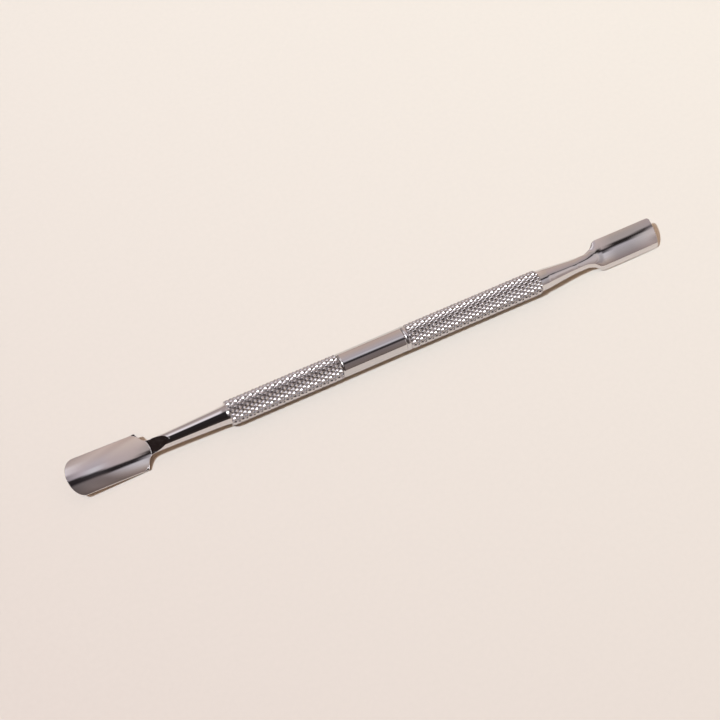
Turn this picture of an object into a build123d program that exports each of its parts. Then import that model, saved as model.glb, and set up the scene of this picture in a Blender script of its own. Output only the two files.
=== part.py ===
from build123d import *
import math
import os

os.makedirs("parts", exist_ok=True)

# Double-ended cuticle pusher, in millimetres.
#
# The pieces are drawn upright in the tool's own frame: X runs along the tool from the rounded end to the
# square end, with X = 0 at mid-length, Y runs across the blades, and Z is the blades' arched upper side. At
# the end they are rolled about X and raised to lie as the loose tool does, on its two grips, with one long
# edge of each blade at the surface, which is Z = 0. The two ends are set at different angles about the axis.

# --- driving dimensions -----------------------------------------------------------------------------------
TOTAL_LENGTH = 140.0

GRIP_DIAMETER = 5.64
BAND_DIAMETER = 5.4
SPIGOT_DIAMETER = 4.4
COLLAR_DIAMETER = 5.52
COLLAR_LENGTH = 1.2
SHORT_GRIP_X = -34.3
SHORT_GRIP_LENGTH = 25.8
BAND_LENGTH = 15.1
LONG_GRIP_LENGTH = 33.3
GRIP_CHAMFER = 0.25
BAND_CHAMFER = 0.3

TANG_DIAMETER = 2.6
TANG_LENGTH = 12.0
TANG_CHAMFER = 0.4
NECK_ROOT_RADIUS = 1.5
BLANK_HALF_HEIGHT = 4.0

# Each blade is an arch across its width, thinner at its edges because its underside is flatter than its top.
# Lengthwise its crown starts with a slope, upwards positive, and bends down on a large radius. The rolls are
# how far each end is turned about the tool's axis as the tool lies on its side. EDGE_GAP keeps the blades'
# lower edges a hair off the surface, so that the grips carry the tool.
EDGE_GAP = 0.01
ROUND_WIDTH = 8.2
ROUND_LENGTH = 16.3
ROUND_TIP_LENGTH = 2.9
ROUND_TOP_RADIUS = 6.4
ROUND_UNDER_RADIUS = 7.5
ROUND_ROOT_THICKNESS = 0.6
ROUND_TIP_THICKNESS = 0.36
ROUND_SLOPE = 8.5
ROUND_BEND_RADIUS = 187.0
ROUND_ROLL = 18.0
ROUND_SHOULDER = 1.9
ROUND_NOSE_LENGTH = 1.6
RAMP_LENGTH = 3.9

SQUARE_WIDTH = 7.0
SQUARE_LENGTH = 14.5
SQUARE_CORNER_RADIUS = 0.6
SQUARE_TOP_RADIUS = 6.3
SQUARE_UNDER_RADIUS = 7.3
SQUARE_ROOT_THICKNESS = 0.6
SQUARE_TIP_THICKNESS = 0.36
SQUARE_SLOPE = 1.0
SQUARE_BEND_RADIUS = 166.0
SQUARE_ROLL = 36.5
SQUARE_SHOULDER = 2.4
SQUARE_FADE_LENGTH = 3.5

# The bent bars that the blades are cut from start this many degrees before the shoulders, and turn this far.
BAR_LEAD = 1.3
BAR_TURN = 9.0

# --- places along the tool --------------------------------------------------------------------------------
half_length = TOTAL_LENGTH / 2
band_start = SHORT_GRIP_X + SHORT_GRIP_LENGTH
band_end = band_start + BAND_LENGTH
long_grip_end = band_end + LONG_GRIP_LENGTH
grip_radius = GRIP_DIAMETER / 2
spigot_radius = SPIGOT_DIAMETER / 2
tang_radius = TANG_DIAMETER / 2
round_half = ROUND_WIDTH / 2
round_shoulder_x = -half_length + ROUND_LENGTH
round_root_x = round_shoulder_x + ROUND_SHOULDER
square_half = SQUARE_WIDTH / 2
square_shoulder_x = half_length - SQUARE_LENGTH
square_root_x = square_shoulder_x - SQUARE_SHOULDER


def edge_height(half_width, roll):
    """Height, in the blade's own upright frame, of a lower edge that touches the surface when rolled."""
    angle = math.radians(roll)
    return (EDGE_GAP - grip_radius + half_width * math.sin(angle)) / math.cos(angle)


def arch_fall(radius, half_width, slope):
    """How far an arch falls, straight down, from its crown to its edge where the crown has this slope."""
    return (radius - math.sqrt(radius**2 - half_width**2)) / math.cos(math.radians(slope))


def crown_point(x, z, slope, bend_radius, towards, turn):
    """Where a crown line through (x, z) has bent down by turn degrees. towards is its direction along X."""
    start, end = math.radians(slope), math.radians(slope - turn)
    run = bend_radius * (math.sin(start) - math.sin(end))
    return x + towards * run, z + bend_radius * (math.cos(end) - math.cos(start))


def bar_section(x, z, slope, bend_radius, radius, towards, lead):
    """Plane and turning axis of a bent round bar. Its crown passes (x, z) and starts lead degrees before."""
    start_x, start_z = crown_point(x, z, slope, bend_radius, towards, -lead)
    angle = math.radians(slope + lead)
    up = Vector(-towards * math.sin(angle), 0, math.cos(angle))
    along = Vector(towards * math.cos(angle), 0, math.sin(angle))
    crown = Vector(start_x, 0, start_z)
    plane = Plane(origin=crown - up * radius, x_dir=(0, 1, 0), z_dir=along)
    return plane, Axis(crown - up * bend_radius, (0, towards, 0))


# The rounded blade slopes up from its shoulders, so its lower edge comes nearest the surface there. The
# square blade bends down, so its edge comes nearest where the tip's corner begins.
round_taper = math.degrees(math.atan((ROUND_ROOT_THICKNESS - ROUND_TIP_THICKNESS) / ROUND_LENGTH))
round_under_slope = ROUND_SLOPE + round_taper
round_edge_z = edge_height(round_half, ROUND_ROLL)
round_under_fall = arch_fall(ROUND_UNDER_RADIUS, round_half, round_under_slope)
round_crown_z = round_edge_z + round_under_fall + ROUND_ROOT_THICKNESS
round_root_z = round_crown_z - ROUND_SHOULDER * math.tan(math.radians(ROUND_SLOPE))

square_taper = math.degrees(math.atan((SQUARE_ROOT_THICKNESS - SQUARE_TIP_THICKNESS) / SQUARE_LENGTH))
square_under_slope = SQUARE_SLOPE + square_taper
square_turn = math.degrees((SQUARE_LENGTH - SQUARE_CORNER_RADIUS) / SQUARE_BEND_RADIUS)
square_drop = crown_point(0, 0, square_under_slope, SQUARE_BEND_RADIUS, 1, square_turn)[1]
square_edge_z = edge_height(square_half, SQUARE_ROLL)
square_under_fall = arch_fall(SQUARE_UNDER_RADIUS, square_half, square_under_slope - square_turn)
square_crown_z = square_edge_z + square_under_fall - square_drop + SQUARE_ROOT_THICKNESS

# --- handle core: polished band, grip spigots, a tang socket in each end ----------------------------------
with BuildPart() as handle_core:
    with BuildSketch(Plane.XZ):
        with BuildLine():
            Polyline(
                (SHORT_GRIP_X, 0),
                (SHORT_GRIP_X, spigot_radius),
                (band_start, spigot_radius),
                (band_start, BAND_DIAMETER / 2),
                (band_end, BAND_DIAMETER / 2),
                (band_end, spigot_radius),
                (long_grip_end, spigot_radius),
                (long_grip_end, 0),
                close=True,
            )
        make_face()
    revolve(axis=Axis.X)
    band_rims = handle_core.edges().filter_by(GeomType.CIRCLE).group_by(SortBy.RADIUS)[-1]
    chamfer(band_rims, BAND_CHAMFER)
    with BuildSketch(Plane.YZ.offset(SHORT_GRIP_X)):
        Circle(tang_radius)
    extrude(amount=TANG_LENGTH, mode=Mode.SUBTRACT)
    with BuildSketch(Plane.YZ.offset(long_grip_end)):
        Circle(tang_radius)
    extrude(amount=-TANG_LENGTH, mode=Mode.SUBTRACT)
handle_core.part.label = "handle_core"

# --- short grip: sleeve pressed over the core beside the rounded blade ------------------------------------
with BuildPart() as short_grip_sleeve:
    with BuildSketch(Plane.YZ.offset(SHORT_GRIP_X)):
        Circle(grip_radius)
        Circle(spigot_radius, mode=Mode.SUBTRACT)
    extrude(amount=SHORT_GRIP_LENGTH)
    short_grip_rims = short_grip_sleeve.edges().filter_by(GeomType.CIRCLE).group_by(SortBy.RADIUS)[-1]
    chamfer(short_grip_rims, GRIP_CHAMFER)
short_grip_sleeve.part.label = "short_grip_sleeve"

# --- long grip: sleeve with a plain collar against the band -----------------------------------------------
with BuildPart() as long_grip_sleeve:
    with BuildSketch(Plane.YZ.offset(band_end)):
        Circle(COLLAR_DIAMETER / 2)
        Circle(spigot_radius, mode=Mode.SUBTRACT)
    extrude(amount=COLLAR_LENGTH)
    with BuildSketch(Plane.YZ.offset(band_end + COLLAR_LENGTH)):
        Circle(grip_radius)
        Circle(spigot_radius, mode=Mode.SUBTRACT)
    extrude(amount=LONG_GRIP_LENGTH - COLLAR_LENGTH)
    grip_end_rim = long_grip_sleeve.edges().filter_by(GeomType.CIRCLE).group_by(SortBy.RADIUS)[-1]
    chamfer(grip_end_rim.sort_by(Axis.X)[-1], GRIP_CHAMFER)
long_grip_sleeve.part.label = "long_grip_sleeve"

# --- rounded pusher: arched blade with a rounded tip, tapered neck and tang -------------------------------
round_top_plane, round_top_axis = bar_section(
    round_shoulder_x, round_crown_z, ROUND_SLOPE, ROUND_BEND_RADIUS, ROUND_TOP_RADIUS, -1, BAR_LEAD
)
round_under_plane, round_under_axis = bar_section(
    round_shoulder_x,
    round_crown_z - ROUND_ROOT_THICKNESS,
    round_under_slope,
    ROUND_BEND_RADIUS,
    ROUND_UNDER_RADIUS,
    -1,
    BAR_LEAD,
)

with BuildPart() as rounded_pusher:
    # The blank, cut to the blade's plan: elliptical tip, straight edges, hollow shoulders into the neck.
    with BuildSketch(Plane.XY.offset(-BLANK_HALF_HEIGHT)):
        with BuildLine():
            tip_arc = EllipticalCenterArc(
                (-half_length + ROUND_TIP_LENGTH, 0),
                ROUND_TIP_LENGTH,
                round_half,
                start_angle=90,
                arc_size=90,
            )
            far_edge = Line(tip_arc @ 0, (round_shoulder_x, round_half))
            shoulder = Line(far_edge @ 1, (round_shoulder_x + 0.6, round_half - 1.5))
            hollow = SagittaArc(shoulder @ 1, (round_root_x, NECK_ROOT_RADIUS + 0.05), 0.25)
            Line(hollow @ 1, (round_root_x, 0))
            mirror(about=Plane.XZ)
        make_face()
    extrude(amount=2 * BLANK_HALF_HEIGHT)
    # Only the arch between the blade's top and its underside stays.
    with BuildSketch(round_top_plane):
        Circle(ROUND_TOP_RADIUS)
    revolve(axis=round_top_axis, revolution_arc=BAR_TURN, mode=Mode.INTERSECT)
    with BuildSketch(round_under_plane):
        Circle(ROUND_UNDER_RADIUS)
    revolve(axis=round_under_axis, revolution_arc=BAR_TURN, mode=Mode.SUBTRACT)
    # The neck swells from the blade's root to the grip, and noses into the blade.
    with BuildSketch(Plane.XZ):
        with BuildLine():
            nose = Line((round_root_x - ROUND_NOSE_LENGTH, 0.5), (round_root_x, NECK_ROOT_RADIUS))
            neck = Spline(
                nose @ 1,
                (round_root_x + 7.4, 1.665),
                (SHORT_GRIP_X - 1.6, 2.0),
                (SHORT_GRIP_X, spigot_radius),
                tangents=((1, 0.02), (0.7, 0.3)),
            )
            Polyline(neck @ 1, (SHORT_GRIP_X, 0), (round_root_x - ROUND_NOSE_LENGTH, 0), nose @ 0)
        make_face()
    revolve(axis=Axis.X)
    # A flat ramp is ground down the neck's upper side to the blade's crown.
    with BuildSketch(Plane.XZ):
        Polygon(
            (round_root_x + RAMP_LENGTH, NECK_ROOT_RADIUS + 0.05),
            (round_root_x, round_root_z),
            (round_shoulder_x, round_crown_z),
            (round_shoulder_x, BLANK_HALF_HEIGHT),
            (round_root_x + RAMP_LENGTH, BLANK_HALF_HEIGHT),
            align=None,
        )
    extrude(amount=round_half, both=True, mode=Mode.SUBTRACT)
    with BuildSketch(Plane.YZ.offset(SHORT_GRIP_X)):
        Circle(tang_radius)
    extrude(amount=TANG_LENGTH)
    chamfer(rounded_pusher.edges().sort_by(Axis.X)[-1], TANG_CHAMFER)
rounded_pusher.part.label = "rounded_pusher"

# --- square pusher: arched blade with a straight end, tapered neck and tang -------------------------------
square_top_plane, square_top_axis = bar_section(
    square_shoulder_x, square_crown_z, SQUARE_SLOPE, SQUARE_BEND_RADIUS, SQUARE_TOP_RADIUS, 1, BAR_LEAD
)
square_under_plane, square_under_axis = bar_section(
    square_shoulder_x,
    square_crown_z - SQUARE_ROOT_THICKNESS,
    square_under_slope,
    SQUARE_BEND_RADIUS,
    SQUARE_UNDER_RADIUS,
    1,
    BAR_LEAD,
)

with BuildPart() as square_pusher:
    # The blank, cut to the blade's plan: straight end, two small corner radii, slanted shoulders.
    with BuildSketch(Plane.XY.offset(-BLANK_HALF_HEIGHT)) as square_outline:
        with BuildLine():
            Polyline(
                (square_root_x, -NECK_ROOT_RADIUS),
                (square_shoulder_x - 0.4, 0.6 - square_half),
                (square_shoulder_x, -square_half),
                (half_length, -square_half),
                (half_length, square_half),
                (square_shoulder_x, square_half),
                (square_shoulder_x - 0.4, square_half - 0.6),
                (square_root_x, NECK_ROOT_RADIUS),
                close=True,
            )
        make_face()
        tip_corners = square_outline.vertices().group_by(Axis.X)[-1]
        fillet(tip_corners, SQUARE_CORNER_RADIUS)
    extrude(amount=2 * BLANK_HALF_HEIGHT)
    # Only the arch between the blade's top and its underside stays.
    with BuildSketch(square_top_plane):
        Circle(SQUARE_TOP_RADIUS)
    revolve(axis=square_top_axis, revolution_arc=BAR_TURN, mode=Mode.INTERSECT)
    with BuildSketch(square_under_plane):
        Circle(SQUARE_UNDER_RADIUS)
    revolve(axis=square_under_axis, revolution_arc=BAR_TURN, mode=Mode.SUBTRACT)
    # The neck narrows from the grip to the blade's root, and fades into the blade's crown.
    with BuildSketch(Plane.XZ):
        with BuildLine():
            fade = Line((square_shoulder_x + SQUARE_FADE_LENGTH, 0.6), (square_root_x, NECK_ROOT_RADIUS))
            neck = Spline(
                fade @ 1,
                (long_grip_end + 6.5, 1.85),
                (long_grip_end + 1.6, 2.35),
                (long_grip_end, 2.4),
                tangents=((-1, 0.02), (-1, 0.03)),
            )
            Polyline(neck @ 1, (long_grip_end, 0), (square_shoulder_x + SQUARE_FADE_LENGTH, 0), fade @ 0)
        make_face()
    revolve(axis=Axis.X)
    with BuildSketch(Plane.YZ.offset(long_grip_end)):
        Circle(tang_radius)
    extrude(amount=-TANG_LENGTH)
    chamfer(square_pusher.edges().sort_by(Axis.X)[0], TANG_CHAMFER)
square_pusher.part.label = "square_pusher"

# --- the rest position: on the grips, with one edge of each blade just clear of the surface ---------------
rolls = (
    (handle_core, 0.0),
    (short_grip_sleeve, 0.0),
    (long_grip_sleeve, 0.0),
    (rounded_pusher, ROUND_ROLL),
    (square_pusher, SQUARE_ROLL),
)
for piece, roll in rolls:
    piece.part.locate(Location((0, 0, grip_radius), (roll, 0, 0)))
boxes = [piece.part.bounding_box() for piece, roll in rolls]
middle_y = (min(box.min.Y for box in boxes) + max(box.max.Y for box in boxes)) / 2
for piece, roll in rolls:
    piece.part.locate(Location((0, -middle_y, grip_radius), (roll, 0, 0)))
print(f"tool axis at y {-middle_y:.4f}, lowest point {min(box.min.Z for box in boxes):.4f}")
print(f"crowns: rounded {round_crown_z:.3f}, square {square_crown_z:.3f}")

export_step(handle_core.part, "parts/handle_core.step")
export_step(short_grip_sleeve.part, "parts/short_grip_sleeve.step")
export_step(long_grip_sleeve.part, "parts/long_grip_sleeve.step")
export_step(rounded_pusher.part, "parts/rounded_pusher.step")
export_step(square_pusher.part, "parts/square_pusher.step")
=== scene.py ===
import math

import bmesh
import bpy
import numpy as np
from mathutils import Matrix, Vector


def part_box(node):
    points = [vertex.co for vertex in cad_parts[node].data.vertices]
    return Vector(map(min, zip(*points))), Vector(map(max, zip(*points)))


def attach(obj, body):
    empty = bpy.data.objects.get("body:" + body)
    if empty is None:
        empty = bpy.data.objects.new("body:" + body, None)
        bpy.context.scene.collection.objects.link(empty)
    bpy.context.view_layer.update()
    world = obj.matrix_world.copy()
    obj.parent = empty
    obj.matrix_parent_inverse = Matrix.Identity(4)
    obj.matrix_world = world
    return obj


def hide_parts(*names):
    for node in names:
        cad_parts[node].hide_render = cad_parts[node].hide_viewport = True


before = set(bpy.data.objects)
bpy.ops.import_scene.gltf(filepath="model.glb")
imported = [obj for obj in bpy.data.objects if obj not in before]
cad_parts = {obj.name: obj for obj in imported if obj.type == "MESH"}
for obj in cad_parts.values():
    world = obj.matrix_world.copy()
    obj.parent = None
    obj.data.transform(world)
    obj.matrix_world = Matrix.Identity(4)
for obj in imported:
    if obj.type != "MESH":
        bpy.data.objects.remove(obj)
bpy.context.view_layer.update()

# A polished steel cuticle pusher. Its meshes are drawn upright in the tool's own frame, in
# millimetres: X along the tool from the rounded end to the square end, Y across the blades, Z the
# blades' arched upper side, with the tool's axis at Y = Z = 0. add_piece() rolls each one into the
# row's frame, in metres.

MM = 0.001

# --- sizes and places read from the CAD nodes ----------------------------------------------------
short_low, short_high = (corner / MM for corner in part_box("short_grip_sleeve"))
long_low, long_high = (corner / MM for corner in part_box("long_grip_sleeve"))
rounded_low, rounded_high = (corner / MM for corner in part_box("rounded_pusher"))
square_low, square_high = (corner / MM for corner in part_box("square_pusher"))

SHORT_GRIP_START = short_low.x
SHORT_GRIP_END = short_high.x
LONG_GRIP_START = long_low.x
LONG_GRIP_END = long_high.x
ROUND_TIP_X = rounded_low.x
SQUARE_TIP_X = square_high.x
ROUND_TANG_X = rounded_high.x
SQUARE_TANG_X = square_low.x
GRIP_RADIUS = (short_high.z - short_low.z) / 2
AXIS_Y = (short_low.y + short_high.y) / 2
AXIS_Z = (short_low.z + short_high.z) / 2

# --- sizes shared with the CAD model's own script ------------------------------------------------
SPIGOT_RADIUS = 2.2
BAND_RADIUS = 2.70
COLLAR_RADIUS = 2.76
COLLAR_LENGTH = 1.2
TANG_RADIUS = 1.3
TANG_CHAMFER = 0.4
NECK_ROOT_RADIUS = 1.5

# How far the blades' lower edges lie above the floor.
EDGE_GAP = 0.01

ROUND_HALF = 4.1
ROUND_LENGTH = 16.3
ROUND_TIP_LENGTH = 2.9
ROUND_TOP_RADIUS = 6.4
ROUND_UNDER_RADIUS = 7.5
ROUND_ROOT_THICKNESS = 0.6
ROUND_TIP_THICKNESS = 0.36
ROUND_SLOPE = math.radians(8.5)
ROUND_BEND_RADIUS = 187.0
ROUND_ROLL = math.radians(18.0)
ROUND_SHOULDER = 1.9

# How long the ramp is, and how far above the neck's crown its plane ends.
RAMP_LENGTH = 3.9
RAMP_OVERSHOOT = 0.05

SQUARE_HALF = 3.5
SQUARE_LENGTH = 14.5
SQUARE_CORNER_RADIUS = 0.6
SQUARE_TOP_RADIUS = 6.3
SQUARE_UNDER_RADIUS = 7.3
SQUARE_ROOT_THICKNESS = 0.6
SQUARE_TIP_THICKNESS = 0.36
SQUARE_SLOPE = math.radians(1.0)
SQUARE_BEND_RADIUS = 166.0
SQUARE_ROLL = math.radians(36.5)
SQUARE_SHOULDER = 2.4

# --- band, collar and blades as the visual meshes have them --------------------------------------
BAND_LEFT_BEVEL = 0.15
BAND_LEFT_BEVEL_LENGTH = 0.36
BAND_RIGHT_BEVEL = 0.08
BAND_ROUNDING = 0.1

COLLAR_BEVEL = 0.14
COLLAR_LEFT_BEVEL_LENGTH = 0.34
COLLAR_RIGHT_BEVEL_LENGTH = 0.15
COLLAR_GROOVE_LENGTH = 0.2
COLLAR_ROUNDING = 0.16

# The blades' rims are rounded, by this radius or this share of the thickness. A thinner rim than
# the smallest stays sharp.
RIM_RADIUS = 0.1
RIM_SHARE = 0.45
RIM_SMALLEST = 0.002

# The ramp's edges on the neck are creases, which lie on mesh lines between these two distances
# from the neck's root.
RAMP_CREASE_START = 0.4
RAMP_CREASE_END = 4.2
RAMP_CREASE_SMALLEST = 0.02
RAMP_FOOT_ROUNDING = 0.004
RAMP_SHARP_ANGLE = 15.0

# The square end's neck opens into the blade's arch, from before the shoulder to past it.
SQUARE_BLEND_BEFORE = 6.5
SQUARE_BLEND_AFTER = 1.0

# Each shoulder's outline is (distance from the end of the blade's parallel sides, half width). The
# neck's own radius takes over from the flare's end.
ROUND_FLARE = 2.6
ROUND_OUTLINE_ROUNDING = 0.22
ROUND_OUTLINE = (
    (-6.0, ROUND_HALF),
    (0.12, ROUND_HALF),
    (0.62, 2.85),
    (0.98, 2.2),
    (1.4, 1.84),
    (1.9, 1.62),
    (ROUND_FLARE, NECK_ROOT_RADIUS + 0.03),
    (6.0, NECK_ROOT_RADIUS + 0.09),
)
SQUARE_FLARE = 3.4
SQUARE_OUTLINE_ROUNDING = 0.6
SQUARE_OUTLINE = (
    (-6.0, NECK_ROOT_RADIUS),
    (-SQUARE_FLARE, NECK_ROOT_RADIUS),
    (-1.5, 2.15),
    (-0.35, SQUARE_HALF - 0.25),
    (0.4, SQUARE_HALF),
    (6.0, SQUARE_HALF),
)

# Each neck is (distance, radius), measured from its root at the blade and from the grip's end face.
ROUND_NECK_FROM_ROOT = (
    (-1.6, 0.5),
    (0.0, NECK_ROOT_RADIUS),
    (3.0, 1.55),
    (7.4, 1.665),
    (12.0, 1.84),
)
ROUND_NECK_FROM_GRIP = ((-1.6, 2.0), (-0.7, 2.08), (0.0, SPIGOT_RADIUS))
SQUARE_NECK_FROM_GRIP = ((0.0, 2.4), (1.6, 2.35), (4.0, 2.1), (6.5, 1.85), (9.5, 1.6))
SQUARE_NECK_FROM_ROOT = ((0.0, NECK_ROOT_RADIUS), (2.5, 1.2), (6.0, 0.5))

# A blade's surfaces go on into the neck for its reach, curving away from the neck's at
# BLADE_CURVE_AWAY, in 1/mm. The neck's go on into the blade for theirs. Underneath, the crease
# between them is rounded.
BLADE_CURVE_AWAY = 0.5
ROUND_BLADE_REACH = 1.5
ROUND_NECK_REACH_ABOVE = 2.9
ROUND_NECK_REACH_BELOW = 3.5
ROUND_UNDER_ROUNDING = 0.5
SQUARE_BLADE_REACH = 4.0
SQUARE_CURVE_START = 1.0
SQUARE_UNDER_ROUNDING = 0.3

# Mesh points across a blade, and how close two mesh points may be before they are one.
ACROSS = 65
WELD_DISTANCE = 0.002

round_shoulder_x = ROUND_TIP_X + ROUND_LENGTH
round_root_x = round_shoulder_x + ROUND_SHOULDER
square_shoulder_x = SQUARE_TIP_X - SQUARE_LENGTH
square_root_x = square_shoulder_x - SQUARE_SHOULDER
square_blend_start = square_shoulder_x - SQUARE_BLEND_BEFORE
square_blend_end = square_shoulder_x + SQUARE_BLEND_AFTER


def edge_height(half_width, roll):
    """Height, in the tool's frame, of a lower edge that is EDGE_GAP above the floor once rolled."""
    return (EDGE_GAP - GRIP_RADIUS + half_width * math.sin(roll)) / math.cos(roll)


def arch_fall(radius, half_width, slope):
    """How far an arch falls, straight down, from its crown to its edge."""
    return (radius - math.sqrt(radius**2 - half_width**2)) / math.cos(slope)


round_taper = math.atan((ROUND_ROOT_THICKNESS - ROUND_TIP_THICKNESS) / ROUND_LENGTH)
round_under_fall = arch_fall(ROUND_UNDER_RADIUS, ROUND_HALF, ROUND_SLOPE + round_taper)
round_crown_z = edge_height(ROUND_HALF, ROUND_ROLL) + round_under_fall + ROUND_ROOT_THICKNESS
round_root_z = round_crown_z - ROUND_SHOULDER * math.tan(ROUND_SLOPE)
ramp_slope = (NECK_ROOT_RADIUS + RAMP_OVERSHOOT - round_root_z) / RAMP_LENGTH

square_taper = math.atan((SQUARE_ROOT_THICKNESS - SQUARE_TIP_THICKNESS) / SQUARE_LENGTH)
square_under_slope = SQUARE_SLOPE + square_taper
square_end_slope = square_under_slope - (SQUARE_LENGTH - SQUARE_CORNER_RADIUS) / SQUARE_BEND_RADIUS
square_drop = SQUARE_BEND_RADIUS * (math.cos(square_end_slope) - math.cos(square_under_slope))
square_under_fall = arch_fall(SQUARE_UNDER_RADIUS, SQUARE_HALF, square_end_slope)
square_crown_z = (
    edge_height(SQUARE_HALF, SQUARE_ROLL) + square_under_fall - square_drop + SQUARE_ROOT_THICKNESS
)

# --- knurl ---------------------------------------------------------------------------------------
KNURL_STARTS = 16
KNURL_PITCH = 1.70
KNURL_DEPTH = 0.36
# How far a groove's flank reaches, as a share of the pitch. At a half there would be no flat top.
KNURL_FLANK = 0.45
# How deep and how long the rounding at each end of a knurl is, and the step down beside it.
KNURL_CHAMFER = 0.4
KNURL_END_LENGTH = 0.55
KNURL_END_STEP = 0.02
# Mesh points round the tool, of which each start has KNURL_STEPS.
KNURL_STEPS = 8
COLUMNS = KNURL_STARTS * KNURL_STEPS
knurl_foot = GRIP_RADIUS - KNURL_CHAMFER - KNURL_END_STEP

# --- camera --------------------------------------------------------------------------------------
CAMERA_AZIMUTH = math.radians(-26.97)
CAMERA_ELEVATION = math.radians(57.0)
CAMERA_DISTANCE = 362.0
CAMERA_LENS = 85.55
CAMERA_TARGET = Vector((-3.78, AXIS_Y - 0.54, AXIS_Z))

# --- light, in metres, and the floor's colours with painted light and shade ----------------------
SOFTBOX_PLACE = (-0.64, -0.15, 1.0)
SOFTBOX_SIZE = 0.06
SOFTBOX_WATTS = 16.0
SOFTBOX_COLOUR = (0.862, 1.23, 1.75)
# The floor's tan colour, with painted shade at the near end and painted light at the far end.
FLOOR_SHADED_COLOUR_NEAR = (0.525, 0.374, 0.267, 1.0)
FLOOR_LIT_COLOUR_FAR = (0.718, 0.555, 0.397, 1.0)
# The floor's colour runs from near to far between two distances along X, turned by the angle below.
# This is painted light and shade: the paper is darker near and lighter far, as the light falls.
FLOOR_LIGHT_TURN = math.radians(-30.0)
FLOOR_SHADED_AT = -0.102
FLOOR_LIT_AT = 0.128
FLOOR_HALF_SIZE = 3.0


# =================================================================================================
# mesh helpers
# =================================================================================================
def add_piece(name, points, faces, material, node, roll=0.0, sharp_angle=40.0):
    """A closed mesh from points in the tool's frame, in millimetres, rolled by roll. It stands for
    one CAD node. Edges that turn by more than sharp_angle, in degrees, stay sharp."""
    mesh = bpy.data.meshes.new(name)
    mesh.from_pydata((np.asarray(points) * MM).tolist(), [], faces)
    bm = bmesh.new()
    bm.from_mesh(mesh)
    bmesh.ops.remove_doubles(bm, verts=bm.verts, dist=WELD_DISTANCE * MM)
    bmesh.ops.recalc_face_normals(bm, faces=bm.faces)
    bm.to_mesh(mesh)
    bm.free()
    to_axis = Matrix.Translation((0, AXIS_Y * MM, AXIS_Z * MM))
    mesh.transform(to_axis @ Matrix.Rotation(roll, 4, "X"))
    mesh.shade_smooth()
    mesh.set_sharp_from_angle(angle=math.radians(sharp_angle))
    mesh.materials.append(material)
    piece = bpy.data.objects.new(name, mesh)
    bpy.context.scene.collection.objects.link(piece)
    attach(piece, "root")
    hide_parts(node)
    return piece


def rounded(corners, radius, steps=4, support=0.12, closed=True):
    """A polyline through corners, each one rounded over no more than 0.35 of its shorter side, with
    a point on either side, support away, to hold the flats flat."""
    count = len(corners)
    out = []
    for i, corner in enumerate(corners):
        if not closed and i in (0, count - 1):
            out.append(tuple(corner))
            continue
        here = np.array(corner, float)
        before = np.array(corners[i - 1], float) - here
        after = np.array(corners[(i + 1) % count], float) - here
        cut = min(radius, 0.35 * np.linalg.norm(before), 0.35 * np.linalg.norm(after))
        start = here + before / np.linalg.norm(before) * cut
        end = here + after / np.linalg.norm(after) * cut
        if np.linalg.norm(before) > 4 * support:
            out.append(tuple(start + before / np.linalg.norm(before) * support))
        for step in range(steps + 1):
            t = step / steps
            out.append(tuple((1 - t) ** 2 * start + 2 * t * (1 - t) * here + t**2 * end))
        if np.linalg.norm(after) > 4 * support:
            out.append(tuple(end + after / np.linalg.norm(after) * support))
    return out


def ring(x, radius, shift=0.0):
    """A ring of COLUMNS points about the tool's axis. radius is one number, or one per column."""
    angles = (np.arange(COLUMNS) + shift) * 2 * math.pi / COLUMNS
    radii = np.broadcast_to(radius, angles.shape)
    return np.column_stack((np.full(COLUMNS, x), radii * np.cos(angles), radii * np.sin(angles)))


def wrap_faces(first, second):
    """Quads between two rings whose first points have these numbers."""
    faces = []
    for c in range(COLUMNS):
        d = (c + 1) % COLUMNS
        faces.append((first + c, first + d, second + d, second + c))
    return faces


def lathe(profile):
    """A closed solid of revolution from a closed profile of (x, radius) points."""
    points = np.vstack([ring(x, r) for x, r in profile])
    faces = []
    for i in range(len(profile)):
        faces += wrap_faces(i * COLUMNS, (i + 1) % len(profile) * COLUMNS)
    return points, faces


# =================================================================================================
# knurled sleeves
# =================================================================================================
def knurl_height(x, column):
    """0 at the bottom of a groove, 1 on a diamond's small flat top. Grooves of both hands cross."""
    turn = column / KNURL_STEPS
    advance = x / KNURL_PITCH
    height = np.ones_like(turn, dtype=float)
    for phase in (turn + advance, turn - advance):
        from_groove = np.abs(phase - np.round(phase))
        height = np.minimum(height, from_groove / KNURL_FLANK)
    return height


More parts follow.
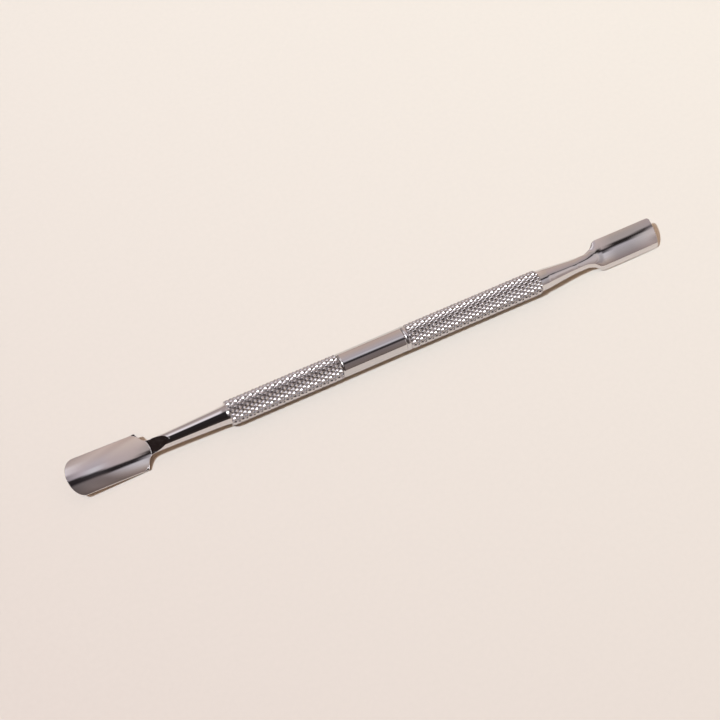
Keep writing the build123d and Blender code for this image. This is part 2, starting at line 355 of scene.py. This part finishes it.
def sleeve(start, end, plain_profile):
    """A knurled sleeve. plain_profile is its closing profile, from the knurl's end round through
    the bore and back to the knurl's start. Every other row of the knurl lies half a column on, so
    every groove runs along mesh edges, and the faces between them are diamonds."""
    row_step = KNURL_PITCH / (2 * KNURL_STEPS)
    rows = 2 * round((end - start) / (2 * row_step))
    row_step = (end - start) / rows
    pitch_fit = row_step * 2 * KNURL_STEPS / KNURL_PITCH
    rings = []
    for row in range(rows + 1):
        x = start + row * row_step
        shift = 0.5 * (row % 2)
        column = np.arange(COLUMNS) + shift
        crest = GRIP_RADIUS - KNURL_DEPTH * (1 - knurl_height((x - start) / pitch_fit, column))
        from_flat = max(0.0, 1 - min(x - start, end - x) / KNURL_END_LENGTH)
        chamfer = GRIP_RADIUS - KNURL_CHAMFER * (1 - math.sqrt(1 - from_flat**2))
        rings.append(ring(x, np.minimum(crest, chamfer), shift))
    faces = []
    for c in range(COLUMNS):
        faces.append((c, (c + 1) % COLUMNS, COLUMNS + c))
        last = rows * COLUMNS
        faces.append((last + c, last - COLUMNS + c, last + (c + 1) % COLUMNS))
    for row in range(rows - 1):
        here, middle, above = (row * COLUMNS, (row + 1) * COLUMNS, (row + 2) * COLUMNS)
        for c in range(COLUMNS):
            left = (c - 1) % COLUMNS if row % 2 == 0 else c
            right = c if row % 2 == 0 else (c + 1) % COLUMNS
            faces.append((here + c, middle + right, above + c, middle + left))
    for x, r in plain_profile:
        rings.append(ring(x, r))
    total = len(rings)
    for i in range(rows, total):
        faces += wrap_faces(i * COLUMNS, (i + 1) % total * COLUMNS)
    return np.vstack(rings), faces


def build_short_grip(material):
    """A knurl from end to end."""
    start, end = SHORT_GRIP_START, SHORT_GRIP_END
    closing = [
        (end, knurl_foot),
        (end, SPIGOT_RADIUS),
        (start, SPIGOT_RADIUS),
        (start, knurl_foot),
    ]
    points, faces = sleeve(start, end, closing)
    return add_piece(
        "short_grip_knurled", points, faces, material, "short_grip_sleeve"
    )


def build_long_grip(material):
    """The knurl starts after a plain collar with a rounded bead and a narrow groove."""
    start, end = LONG_GRIP_START + COLLAR_LENGTH, LONG_GRIP_END
    groove = start - COLLAR_GROOVE_LENGTH
    collar = rounded(
        [
            (LONG_GRIP_START, SPIGOT_RADIUS),
            (LONG_GRIP_START, COLLAR_RADIUS - COLLAR_BEVEL),
            (LONG_GRIP_START + COLLAR_LEFT_BEVEL_LENGTH, COLLAR_RADIUS),
            (groove - COLLAR_RIGHT_BEVEL_LENGTH, COLLAR_RADIUS),
            (groove, COLLAR_RADIUS - COLLAR_BEVEL),
            (start, knurl_foot),
        ],
        COLLAR_ROUNDING,
        closed=False,
    )
    closing = [(end, knurl_foot), (end, SPIGOT_RADIUS)] + collar[:-1]
    points, faces = sleeve(start, end, closing)
    return add_piece(
        "long_grip_knurled", points, faces, material, "long_grip_sleeve"
    )


# =================================================================================================
# handle core
# =================================================================================================
def build_core(material):
    """The polished band between the grips, the spigots inside them, and a socket in each end."""
    start, end = SHORT_GRIP_START, LONG_GRIP_END
    profile = rounded(
        [
            (start, TANG_RADIUS),
            (start, SPIGOT_RADIUS),
            (SHORT_GRIP_END, SPIGOT_RADIUS),
            (SHORT_GRIP_END, BAND_RADIUS - BAND_LEFT_BEVEL),
            (SHORT_GRIP_END + BAND_LEFT_BEVEL_LENGTH, BAND_RADIUS),
            (LONG_GRIP_START - BAND_RIGHT_BEVEL, BAND_RADIUS),
            (LONG_GRIP_START, BAND_RADIUS - BAND_RIGHT_BEVEL),
            (LONG_GRIP_START, SPIGOT_RADIUS),
            (end, SPIGOT_RADIUS),
            (end, TANG_RADIUS),
            (SQUARE_TANG_X, TANG_RADIUS),
            (SQUARE_TANG_X, 0.0),
            (ROUND_TANG_X, 0.0),
            (ROUND_TANG_X, TANG_RADIUS),
        ],
        BAND_ROUNDING,
        steps=3,
    )
    points, faces = lathe([(x, max(r, 0.0)) for x, r in profile])
    return add_piece("handle_band", points, faces, material, "handle_core")


# =================================================================================================
# working ends
# =================================================================================================
def soft_min(a, b, width):
    """The lower of a and b, with the crease between them rounded over width."""
    overlap = np.maximum(width - np.abs(a - b), 0) / width
    return np.minimum(a, b) - overlap**2 * width / 4


def soft_max(a, b, width):
    """The higher of a and b, rounded in the same way."""
    return -soft_min(-a, -b, width)


def smooth_step(t):
    """0 up to t = 0, 1 from t = 1, and a smooth rise between."""
    t = min(max(t, 0.0), 1.0)
    return t * t * (3 - 2 * t)


def half_round(radius, y):
    """Height of a round bar's surface above its axis, y to one side, and 0 beyond its edge."""
    return np.sqrt(np.maximum(radius**2 - y**2, 0))


def spread_across(half, crease):
    """Places across a station, closer together at its edges. Two lie on its creases, if any."""
    share = np.linspace(-1, 1, ACROSS)
    if crease <= 0:
        return half * np.sin(share * math.pi / 2)
    outside = np.sin(np.clip(2 * np.abs(share) - 1, 0, 1) * math.pi / 2)
    beside = np.sign(share) * (crease + (half - crease) * outside)
    return np.where(np.abs(share) <= 0.5, 2 * share * crease, beside)


def blade_mesh(stations, top, bottom, end_distance, crease_at):
    """A closed solid between two height functions. Each station is (x, half width, radius of the
    round neck there), and runs across the tool from edge to edge. Edges with any thickness get a
    rounded rim. end_distance(x) is how far the station is from a square end, for the rim there.
    crease_at(x, radius) is how far a crease lies from the middle, or 0."""
    count = ACROSS
    xs = np.array([s[0] for s in stations])
    widths = np.array([s[1] for s in stations])
    # The small addition keeps two stations at one place apart.
    along = np.maximum.accumulate(np.abs(xs - xs[0])) + 1e-4 * np.arange(len(xs))
    slopes = np.gradient(widths, along)
    points = []
    for (x, half, radius), slope in zip(stations, slopes):
        y = spread_across(half, crease_at(x, radius))
        high = top(x, y, radius)
        low = bottom(x, y, radius)
        middle = (high + low) / 2
        high, low = np.maximum(high, middle), np.minimum(low, middle)
        rim = min(RIM_RADIUS, RIM_SHARE * (high[0] - low[0]))
        if rim > RIM_SMALLEST:
            inside = np.minimum((half - np.abs(y)) / math.hypot(1, slope), end_distance(x))
            depth = np.clip(rim - inside, 0, rim)
            drop = rim - np.sqrt(rim**2 - depth**2)
            high, low = high - drop, low + drop
        points.append(np.column_stack((np.full(count, x), y, high)))
        points.append(np.column_stack((np.full(count, x), y, low)))
    faces = []
    for i in range(len(stations) - 1):
        upper, lower = 2 * i * count, (2 * i + 1) * count
        step = 2 * count
        for j in range(count - 1):
            faces.append((upper + j, upper + j + 1, upper + step + j + 1, upper + step + j))
            faces.append((lower + j, lower + step + j, lower + step + j + 1, lower + j + 1))
        for j in (0, count - 1):
            faces.append((upper + j, upper + step + j, lower + step + j, lower + j))
    for i in (0, len(stations) - 1):
        upper, lower = 2 * i * count, (2 * i + 1) * count
        for j in range(count - 1):
            faces.append((upper + j, upper + j + 1, lower + j + 1, lower + j))
    return np.vstack(points), faces


def spans(*edges):
    """Stations from (start, end, step) spans, without repeats."""
    places = []
    for start, end, step in edges:
        count = max(1, round(abs(end - start) / step))
        places += list(np.linspace(start, end, count + 1))
    kept = [places[0]]
    for place in places[1:]:
        if abs(place - kept[-1]) > 1e-6:
            kept.append(place)
    return kept


def curve_through(points):
    """A smooth function through (x, y) points, by cubic Hermite pieces with limited slopes."""
    xs, ys = np.array(points, float).T
    chords = np.diff(ys) / np.diff(xs)
    slopes = np.concatenate(([chords[0]], np.zeros(len(chords) - 1), [chords[-1]]))
    for i in range(1, len(chords)):
        if chords[i - 1] * chords[i] > 0:
            slopes[i] = 2 * chords[i - 1] * chords[i] / (chords[i - 1] + chords[i])

    def value(x):
        x = min(max(x, xs[0]), xs[-1])
        i = min(int(np.searchsorted(xs, x, side="right")) - 1, len(xs) - 2)
        width = xs[i + 1] - xs[i]
        t = (x - xs[i]) / width
        start = (1 + 2 * t) * (1 - t) ** 2 * ys[i] + t * (1 - t) ** 2 * width * slopes[i]
        end = t**2 * (3 - 2 * t) * ys[i + 1] + t**2 * (t - 1) * width * slopes[i + 1]
        return start + end

    return value


def moved(points, x):
    """(distance, value) points as (place, value) points, with the distances measured from x."""
    return [(x + distance, value) for distance, value in points]


def tang_stations(mouth, tip):
    """The tang's stations, from its tip to the neck's seat on the grip's end face."""
    inward = math.copysign(1.0, mouth - tip)
    places = (
        (tip, TANG_RADIUS - TANG_CHAMFER),
        (tip + TANG_CHAMFER * inward, TANG_RADIUS),
        (mouth, TANG_RADIUS),
    )
    return [(x, r, r) for x, r in places]


def bent_bar(x, z, slope, bend_radius, radius, towards):
    """Height of a bent round bar's top. Its crown passes (x, z) with this slope and bends down,
    towards +X or -X."""
    centre_x = x + towards * math.sin(slope) * bend_radius
    centre_z = z - math.cos(slope) * bend_radius

    def height(at_x, y):
        reach = bend_radius - radius + half_round(radius, y)
        return centre_z + np.sqrt(reach**2 - (at_x - centre_x) ** 2)

    return height


def build_rounded_end(material):
    """Arched blade with a rounded tip. A ramp is ground down the neck's upper side to its crown."""
    face = bent_bar(
        round_shoulder_x, round_crown_z, ROUND_SLOPE, ROUND_BEND_RADIUS, ROUND_TOP_RADIUS, -1
    )
    underside = bent_bar(
        round_shoulder_x,
        round_crown_z - ROUND_ROOT_THICKNESS,
        ROUND_SLOPE + round_taper,
        ROUND_BEND_RADIUS,
        ROUND_UNDER_RADIUS,
        -1,
    )
    neck = curve_through(
        moved(ROUND_NECK_FROM_ROOT, round_root_x) + moved(ROUND_NECK_FROM_GRIP, SHORT_GRIP_START)
    )
    outline = rounded(
        moved(ROUND_OUTLINE, round_shoulder_x), ROUND_OUTLINE_ROUNDING, steps=6, closed=False
    )
    outline_x, outline_half = zip(*outline)

    def top(x, y, radius):
        ramp = round_root_z + ramp_slope * (x - round_root_x)
        shaft = np.minimum(half_round(radius, y), ramp)
        if x > round_root_x + ROUND_BLADE_REACH:
            return shaft
        blade = face(x, y) - BLADE_CURVE_AWAY * max(0.0, x - round_root_x) ** 2
        if x < round_root_x - ROUND_NECK_REACH_ABOVE:
            return blade
        return soft_max(blade, shaft, RAMP_FOOT_ROUNDING)

    def ramp_edge(x, radius):
        """Half the width of the ramp where it cuts the neck."""
        beyond = x - round_root_x
        if beyond < RAMP_CREASE_START or beyond > RAMP_CREASE_END:
            return 0.0
        half = float(half_round(radius, round_root_z + ramp_slope * beyond))
        return max(half, RAMP_CREASE_SMALLEST)

    def bottom(x, y, radius):
        shaft = -half_round(radius, y)
        beyond = x - round_root_x
        if beyond > ROUND_BLADE_REACH:
            return shaft
        blade = underside(x, y) + BLADE_CURVE_AWAY * max(0.0, beyond) ** 2
        if beyond < -ROUND_NECK_REACH_BELOW:
            return blade
        return soft_min(blade, shaft, ROUND_UNDER_ROUNDING)

    def half_width(x):
        if x < ROUND_TIP_X + ROUND_TIP_LENGTH:
            share = (ROUND_TIP_X + ROUND_TIP_LENGTH - x) / ROUND_TIP_LENGTH
            return ROUND_HALF * math.sqrt(max(0.0, 1 - share**2))
        if x > round_shoulder_x + ROUND_FLARE:
            return neck(x)
        return float(np.interp(x, outline_x, outline_half))

    # Stations are closest where the outline or the upper side turns fastest.
    tip_angles = np.linspace(0.0, math.pi / 2, 41)
    tip_places = [ROUND_TIP_X + ROUND_TIP_LENGTH * (1 - math.sin(angle)) for angle in tip_angles]
    places = spans(
        (SHORT_GRIP_START, SHORT_GRIP_START - 2, 0.1),
        (SHORT_GRIP_START - 2, round_root_x + 6, 0.4),
        (round_root_x + 6, round_root_x + 4.2, 0.12),
        (round_root_x + 4.2, round_root_x + 0.4, 0.05),
        (round_root_x + 0.4, round_root_x + 0.05, 0.04),
        (round_root_x + 0.05, round_root_x - 0.5, 0.01),
        (round_root_x - 0.5, round_shoulder_x - 0.6, 0.04),
        (round_shoulder_x - 0.6, ROUND_TIP_X + ROUND_TIP_LENGTH, 0.5),
    )
    places = sorted(set(round(place, 5) for place in places + tip_places), reverse=True)
    stations = tang_stations(SHORT_GRIP_START, ROUND_TANG_X)
    stations += [(x, half_width(x), neck(x)) for x in places]
    points, faces = blade_mesh(stations, top, bottom, lambda x: 1.0, ramp_edge)
    return add_piece(
        "rounded_blade",
        points,
        faces,
        material,
        "rounded_pusher",
        roll=ROUND_ROLL,
        sharp_angle=RAMP_SHARP_ANGLE,
    )


def build_square_end(material):
    """Arched blade with a straight end. The neck fades into its crown."""
    face = bent_bar(
        square_shoulder_x, square_crown_z, SQUARE_SLOPE, SQUARE_BEND_RADIUS, SQUARE_TOP_RADIUS, 1
    )
    underside = bent_bar(
        square_shoulder_x,
        square_crown_z - SQUARE_ROOT_THICKNESS,
        square_under_slope,
        SQUARE_BEND_RADIUS,
        SQUARE_UNDER_RADIUS,
        1,
    )
    neck = curve_through(
        moved(SQUARE_NECK_FROM_GRIP, LONG_GRIP_END) + moved(SQUARE_NECK_FROM_ROOT, square_root_x)
    )
    outline = rounded(
        moved(SQUARE_OUTLINE, square_shoulder_x), SQUARE_OUTLINE_ROUNDING, steps=6, closed=False
    )
    outline_x, outline_half = zip(*outline)

    def top(x, y, radius):
        """The neck's half round opens and flattens, over the shoulders, into the blade's arch."""
        shaft = half_round(radius, y)
        opened = smooth_step((x - square_blend_start) / (square_blend_end - square_blend_start))
        if opened <= 0:
            return shaft
        if opened >= 1:
            return face(x, y)
        half = half_width(x)
        arch_radius = half * (1 + opened * (SQUARE_TOP_RADIUS / SQUARE_HALF - 1))
        crown = (1 - opened) * radius + opened * float(face(x, 0.0))
        return crown - arch_radius + half_round(arch_radius, y)

    def bottom(x, y, radius):
        shaft = -half_round(radius, y)
        before = square_shoulder_x - x
        if before > SQUARE_BLADE_REACH:
            return shaft
        blade = underside(x, y) + BLADE_CURVE_AWAY * max(0.0, before - SQUARE_CURVE_START) ** 2
        return soft_min(shaft, blade, SQUARE_UNDER_ROUNDING)

    def half_width(x):
        corner = x - (SQUARE_TIP_X - SQUARE_CORNER_RADIUS)
        if corner > 0:
            reach = math.sqrt(max(0.0, SQUARE_CORNER_RADIUS**2 - corner**2))
            return SQUARE_HALF - SQUARE_CORNER_RADIUS + reach
        if x < square_shoulder_x - SQUARE_FLARE:
            return neck(x)
        return float(np.interp(x, outline_x, outline_half))

    corner_angles = np.linspace(0.0, math.pi / 2, 25)
    corner_places = [
        SQUARE_TIP_X - SQUARE_CORNER_RADIUS * (1 - math.sin(angle)) for angle in corner_angles
    ]
    places = spans(
        (LONG_GRIP_END, LONG_GRIP_END + 0.6, 0.1),
        (LONG_GRIP_END + 0.6, square_shoulder_x - 4.5, 0.35),
        (square_shoulder_x - 4.5, square_shoulder_x + 1, 0.08),
        (square_shoulder_x + 1, SQUARE_TIP_X - SQUARE_CORNER_RADIUS, 0.3),
    )
    places = sorted(set(round(place, 5) for place in places + corner_places))
    stations = tang_stations(LONG_GRIP_END, SQUARE_TANG_X)
    stations += [(x, half_width(x), neck(x)) for x in places]
    points, faces = blade_mesh(
        stations, top, bottom, lambda x: SQUARE_TIP_X - x, lambda x, radius: 0.0
    )
    return add_piece(
        "square_blade", points, faces, material, "square_pusher", roll=SQUARE_ROLL
    )


# =================================================================================================
# materials
# =================================================================================================
def node_maker(tree):
    """add(kind, inputs..., settings...) makes a node, links or sets its inputs, and returns it."""

    def add(kind, inputs=None, **settings):
        node = tree.nodes.new(kind)
        for name, value in settings.items():
            setattr(node, name, value)
        for key, value in (inputs or {}).items():
            socket = node.inputs[key]
            if isinstance(value, bpy.types.NodeSocket):
                tree.links.new(value, socket)
            else:
                socket.default_value = value
        return node

    return add


def spread(add, noise, low, high, noise_low=0.0, noise_high=1.0):
    """A noise from noise_low to noise_high, mapped to values from low to high."""
    return add(
        "ShaderNodeMapRange",
        {
            "Value": noise.outputs["Fac"],
            "From Min": noise_low,
            "From Max": noise_high,
            "To Min": low,
            "To Max": high,
        },
    )


def steel(name, colour, roughness, streak, bump):
    """Polished stainless steel: fine polishing lines along the tool, cloudy gloss, faint stains."""
    material = bpy.data.materials.new(name)
    material.use_nodes = True
    tree = material.node_tree
    tree.nodes.clear()
    add = node_maker(tree)
    place = add("ShaderNodeTexCoord").outputs["Object"]
    along = add("ShaderNodeMapping", {"Vector": place, "Scale": (120.0, 5200.0, 5200.0)})
    lines = add("ShaderNodeTexNoise", {"Vector": along.outputs[0], "Scale": 1.0, "Detail": 3.0})
    clouds = add("ShaderNodeTexNoise", {"Vector": place, "Scale": 420.0, "Detail": 4.0})
    stains = add("ShaderNodeTexNoise", {"Vector": place, "Scale": 150.0, "Detail": 2.0})
    shade = spread(add, stains, 0.96, 1.03)
    tone = add(
        "ShaderNodeVectorMath",
        {0: colour, "Scale": shade.outputs[0]},
        operation="SCALE",
    )
    gloss_clouds = spread(add, clouds, roughness * 0.8, roughness * 1.25, 0.3, 0.7)
    gloss_lines = spread(add, lines, 0.0, streak, 0.3, 0.7)
    gloss = add(
        "ShaderNodeMath",
        {0: gloss_clouds.outputs[0], 1: gloss_lines.outputs[0]},
        operation="ADD",
    )
    relief = add(
        "ShaderNodeBump",
        {"Strength": bump, "Distance": 0.00002, "Height": lines.outputs["Fac"]},
    )
    shader = add(
        "ShaderNodeBsdfPrincipled",
        {
            "Base Color": tone.outputs[0],
            "Metallic": 1.0,
            "Roughness": gloss.outputs[0],
            "Normal": relief.outputs[0],
        },
    )
    add("ShaderNodeOutputMaterial", {"Surface": shader.outputs[0]})
    return material


def floor_material():
    """Matt tan paper with the faintest grain, painted darker near and lighter far as painted light
    and shade. The cool softbox makes it look cream.
    """
    material = bpy.data.materials.new("cream_floor")
    material.use_nodes = True
    tree = material.node_tree
    tree.nodes.clear()
    add = node_maker(tree)
    place = add("ShaderNodeTexCoord").outputs["Object"]
    grain = add("ShaderNodeTexNoise", {"Vector": place, "Scale": 900.0, "Detail": 3.0})
    turned = add("ShaderNodeMapping", {"Vector": place, "Rotation": (0.0, 0.0, FLOOR_LIGHT_TURN)})
    axes = add("ShaderNodeSeparateXYZ", {0: turned.outputs[0]})
    # Painted light and shade: the paper goes from darker near to lighter far along the turned X.
    depth = add(
        "ShaderNodeMapRange",
        {"Value": axes.outputs[0], "From Min": FLOOR_SHADED_AT, "From Max": FLOOR_LIT_AT},
    )
    paper = add(
        "ShaderNodeMix",
        {0: depth.outputs[0], 6: FLOOR_SHADED_COLOUR_NEAR, 7: FLOOR_LIT_COLOUR_FAR},
        data_type="RGBA",
    )
    fleck = spread(add, grain, 0.98, 1.02)
    tone = add(
        "ShaderNodeVectorMath",
        {0: paper.outputs[2], "Scale": fleck.outputs[0]},
        operation="SCALE",
    )
    shader = add(
        "ShaderNodeBsdfPrincipled",
        {
            "Base Color": tone.outputs[0],
            "Roughness": 0.8,
            "Specular IOR Level": 0.1,
        },
    )
    add("ShaderNodeOutputMaterial", {"Surface": shader.outputs[0]})
    return material


# =================================================================================================
# studio
# =================================================================================================
def build_floor():
    """A flat sheet of paper, much larger than the picture."""
    size = FLOOR_HALF_SIZE
    mesh = bpy.data.meshes.new("floor")
    corners = [(-size, -size, 0), (size, -size, 0), (size, size, 0), (-size, size, 0)]
    mesh.from_pydata(corners, [], [(0, 1, 2, 3)])
    mesh.materials.append(floor_material())
    floor = bpy.data.objects.new("floor", mesh)
    bpy.context.scene.collection.objects.link(floor)


# The room as the steel shows it. A direction's lean is its X, which is 1 along the tool towards the
# square end. Each column is the colours round one lean, as stops of (degrees from straight up
# towards the front, colour). Past 90 degrees lies the floor.
FLOOR_BEYOND = (0.30, 0.22, 0.17)
DARK_SIDE = (
    (-100, (0.40, 0.33, 0.30)),
    (-60, (0.50, 0.42, 0.40)),
    (-45, (0.58, 0.50, 0.49)),
    (-34, (1.05, 1.00, 1.05)),
    (-14, (1.10, 1.05, 1.10)),
    (-4, (0.03, 0.026, 0.028)),
    (60, (0.022, 0.017, 0.017)),
    (90, (0.07, 0.055, 0.048)),
)
DULL_SIDE = (
    (-100, (0.40, 0.33, 0.30)),
    (-60, (0.50, 0.42, 0.40)),
    (-14, (0.48, 0.43, 0.43)),
    (-4, (0.03, 0.026, 0.028)),
    (60, (0.022, 0.017, 0.017)),
    (90, (0.07, 0.055, 0.048)),
)
BLACK_SIDE = (
    (-95, (0.42, 0.34, 0.29)),
    (-50, (0.30, 0.25, 0.23)),
    (-32, (0.022, 0.014, 0.013)),
    (90, (0.022, 0.014, 0.013)),
)
SOFTBOX_SIDE = (
    (-70, (0.32, 0.28, 0.26)),
    (-42, (0.45, 0.41, 0.42)),
    (-32, (1.2, 1.14, 1.17)),
    (1, (1.2, 1.14, 1.17)),
    (5, (6.2, 6.1, 6.2)),
    (21, (6.2, 6.1, 6.2)),
    (26, (1.2, 1.14, 1.16)),
    (42, (0.60, 0.55, 0.56)),
    (54, (0.12, 0.10, 0.10)),
    (90, (0.10, 0.08, 0.07)),
)
TIP_SIDE = (
    (-65, (0.76, 0.62, 0.56)),
    (-40, (0.70, 0.60, 0.57)),
    (-18, (0.64, 0.56, 0.58)),
    (9, (0.58, 0.52, 0.57)),
    (15, (0.035, 0.028, 0.03)),
    (30, (0.025, 0.02, 0.022)),
    (39, (0.23, 0.20, 0.20)),
    (70, (0.27, 0.22, 0.21)),
    (90, (0.20, 0.15, 0.14)),
)
BAND_SIDE = (
    (-66, (0.68, 0.54, 0.48)),
    (-40, (0.64, 0.53, 0.50)),
    (-18, (0.62, 0.55, 0.57)),
    (-4, (0.58, 0.53, 0.57)),
    (2, (0.74, 0.72, 0.77)),
    (13, (0.74, 0.72, 0.77)),
    (19, (0.05, 0.045, 0.05)),
    (32, (0.055, 0.047, 0.05)),
    (39, (0.24, 0.20, 0.20)),
    (70, (0.23, 0.185, 0.175)),
    (95, (0.19, 0.15, 0.125)),
)
MIDDLE_SIDE = (
    (-65, (0.82, 0.68, 0.60)),
    (-35, (0.74, 0.63, 0.58)),
    (-5, (0.63, 0.54, 0.54)),
    (19, (0.57, 0.50, 0.53)),
    (24, (0.03, 0.025, 0.027)),
    (37, (0.02, 0.016, 0.017)),
    (42, (0.46, 0.42, 0.44)),
    (60, (0.40, 0.34, 0.33)),
    (90, (0.30, 0.22, 0.20)),
)
ROOT_SIDE = (
    (-65, (0.86, 0.70, 0.63)),
    (-35, (0.76, 0.64, 0.59)),
    (-5, (0.66, 0.56, 0.54)),
    (21, (0.60, 0.52, 0.51)),
    (26, (0.03, 0.024, 0.027)),
    (37, (0.03, 0.024, 0.027)),
    (42, (0.78, 0.76, 0.81)),
    (58, (0.78, 0.74, 0.76)),
    (75, (0.60, 0.51, 0.45)),
    (90, (0.36, 0.28, 0.24)),
)
SQUARE_SIDE = (
    (-65, (0.66, 0.54, 0.47)),
    (-30, (0.62, 0.52, 0.45)),
    (-5, (0.49, 0.44, 0.42)),
    (11, (0.50, 0.45, 0.44)),
    (17, (0.025, 0.02, 0.02)),
    (28, (0.025, 0.02, 0.02)),
    (35, (0.58, 0.55, 0.59)),
    (55, (0.48, 0.45, 0.46)),
    (95, (0.30, 0.23, 0.22)),
)
SQUARE_TIP_SIDE = (
    (-60, (0.62, 0.51, 0.47)),
    (-15, (0.53, 0.45, 0.44)),
    (6, (0.50, 0.45, 0.45)),
    (11, (0.05, 0.04, 0.04)),
    (21, (0.05, 0.04, 0.04)),
    (27, (0.67, 0.63, 0.63)),
    (45, (0.68, 0.64, 0.64)),
    (75, (0.56, 0.48, 0.47)),
    (95, (0.48, 0.38, 0.35)),
)
NECK_SIDE = (
    (-65, (0.66, 0.53, 0.49)),
    (-20, (0.58, 0.48, 0.47)),
    (3, (0.47, 0.41, 0.41)),
    (8, (0.22, 0.19, 0.20)),
    (15, (0.26, 0.23, 0.24)),
    (22, (0.66, 0.60, 0.60)),
    (42, (0.78, 0.70, 0.68)),
    (66, (0.40, 0.33, 0.31)),
    (95, (0.42, 0.34, 0.31)),
)
NECK_ROOT_SIDE = (
    (-65, (0.60, 0.49, 0.45)),
    (-20, (0.55, 0.46, 0.45)),
    (2, (0.46, 0.41, 0.41)),
    (7, (0.07, 0.06, 0.065)),
    (16, (0.07, 0.06, 0.065)),
    (22, (0.64, 0.59, 0.60)),
    (50, (0.68, 0.62, 0.62)),
    (95, (0.44, 0.36, 0.33)),
)
FAR_SIDE = (
    (-90, (0.24, 0.16, 0.11)),
    (90, (0.24, 0.16, 0.11)),
)
END_SIDE = (
    (-90, (0.34, 0.26, 0.21)),
    (-50, (0.30, 0.26, 0.25)),
    (-30, (0.70, 0.66, 0.67)),
    (8, (0.80, 0.76, 0.78)),
    (24, (0.10, 0.08, 0.08)),
    (55, (0.12, 0.10, 0.09)),
    (90, (0.34, 0.26, 0.21)),
)
SKY_COLUMNS = (
    (-0.93, END_SIDE),
    (-0.80, FAR_SIDE),
    (-0.70, BLACK_SIDE),
    (-0.54, BLACK_SIDE),
    (-0.50, SOFTBOX_SIDE),
    (-0.22, SOFTBOX_SIDE),
    (-0.16, DULL_SIDE),
    (0.00, DULL_SIDE),
    (0.05, DARK_SIDE),
    (0.13, DARK_SIDE),
    (0.22, TIP_SIDE),
    (0.25, BAND_SIDE),
    (0.27, BAND_SIDE),
    (0.30, MIDDLE_SIDE),
    (0.37, ROOT_SIDE),
    (0.41, SQUARE_SIDE),
    (0.46, SQUARE_SIDE),
    (0.51, SQUARE_TIP_SIDE),
    (0.54, NECK_SIDE),
    (0.58, NECK_ROOT_SIDE),
    (0.70, NECK_ROOT_SIDE),
    (0.85, FAR_SIDE),
    (0.93, END_SIDE),
)


def build_sky():
    """The world's colour, from SKY_COLUMNS, with an even passage from each column to the next."""
    world = bpy.data.worlds.new("studio")
    bpy.context.scene.world = world
    world.use_nodes = True
    tree = world.node_tree
    tree.nodes.clear()
    add = node_maker(tree)
    direction = add("ShaderNodeTexCoord").outputs["Generated"]
    axes = add("ShaderNodeSeparateXYZ", {0: direction})
    forward = add("ShaderNodeMath", {0: axes.outputs[1], 1: -1.0}, operation="MULTIPLY")
    angle = add("ShaderNodeMath", {0: forward.outputs[0], 1: axes.outputs[2]}, operation="ARCTAN2")
    share = add(
        "ShaderNodeMapRange",
        {"Value": angle.outputs[0], "From Min": -math.pi, "From Max": math.pi},
    )
    sky = None
    for lean, column in SKY_COLUMNS:
        stops = ((-180, FLOOR_BEYOND), *column, (180, FLOOR_BEYOND))
        ramp = add("ShaderNodeValToRGB", {0: share.outputs[0]})
        elements = ramp.color_ramp.elements
        while len(elements) < len(stops):
            elements.new(0.5)
        for element, (degrees, colour) in zip(elements, stops):
            element.position = (degrees + 180) / 360
            element.color = (*colour, 1.0)
        if sky is None:
            sky, last_lean = ramp.outputs[0], lean
            continue
        side = add(
            "ShaderNodeMapRange",
            {"Value": axes.outputs[0], "From Min": last_lean, "From Max": lean},
        )
        mix = add(
            "ShaderNodeMix",
            {0: side.outputs[0], 6: sky, 7: ramp.outputs[0]},
            data_type="RGBA",
        )
        sky, last_lean = mix.outputs[2], lean
    background = add("ShaderNodeBackground", {"Color": sky})
    add("ShaderNodeOutputWorld", {"Surface": background.outputs[0]})


def aim(thing, target):
    """Turn a light or a camera towards a point."""
    thing.rotation_euler = (Vector(target) - thing.location).to_track_quat("-Z", "Y").to_euler()


def build_lights():
    """One small softbox, high and to the left. What the steel shows of it is in the sky."""
    light = bpy.data.lights.new("softbox", "AREA")
    light.shape = "SQUARE"
    light.size = SOFTBOX_SIZE
    light.energy = SOFTBOX_WATTS
    light.color = SOFTBOX_COLOUR
    softbox = bpy.data.objects.new("softbox", light)
    softbox.location = SOFTBOX_PLACE
    softbox.visible_glossy = False
    bpy.context.scene.collection.objects.link(softbox)
    aim(softbox, (0.0, 0.0, 0.0))


def build_camera():
    """The camera looks down on CAMERA_TARGET. Its azimuth is measured from -Y towards +X."""
    data = bpy.data.cameras.new("camera")
    data.lens = CAMERA_LENS
    data.sensor_width = 36.0
    data.clip_start = 0.01
    camera = bpy.data.objects.new("camera", data)
    bpy.context.scene.collection.objects.link(camera)
    towards = Vector(
        (
            math.sin(CAMERA_AZIMUTH) * math.cos(CAMERA_ELEVATION),
            -math.cos(CAMERA_AZIMUTH) * math.cos(CAMERA_ELEVATION),
            math.sin(CAMERA_ELEVATION),
        )
    )
    target = CAMERA_TARGET * MM
    camera.location = target + towards * CAMERA_DISTANCE * MM
    aim(camera, target)
    bpy.context.scene.camera = camera


# =================================================================================================
# the object and its studio
# =================================================================================================
band_steel = steel("band_steel", (0.64, 0.62, 0.62), 0.05, 0.03, 0.05)
grip_steel = steel("grip_steel", (0.66, 0.64, 0.65), 0.11, 0.03, 0.05)
end_steel = steel("end_steel", (0.70, 0.67, 0.67), 0.05, 0.03, 0.08)

build_core(band_steel)
build_short_grip(grip_steel)
build_long_grip(grip_steel)
build_rounded_end(end_steel)
build_square_end(end_steel)

build_floor()
build_sky()
build_lights()
build_camera()
bpy.context.scene.view_settings.view_transform = "Standard"
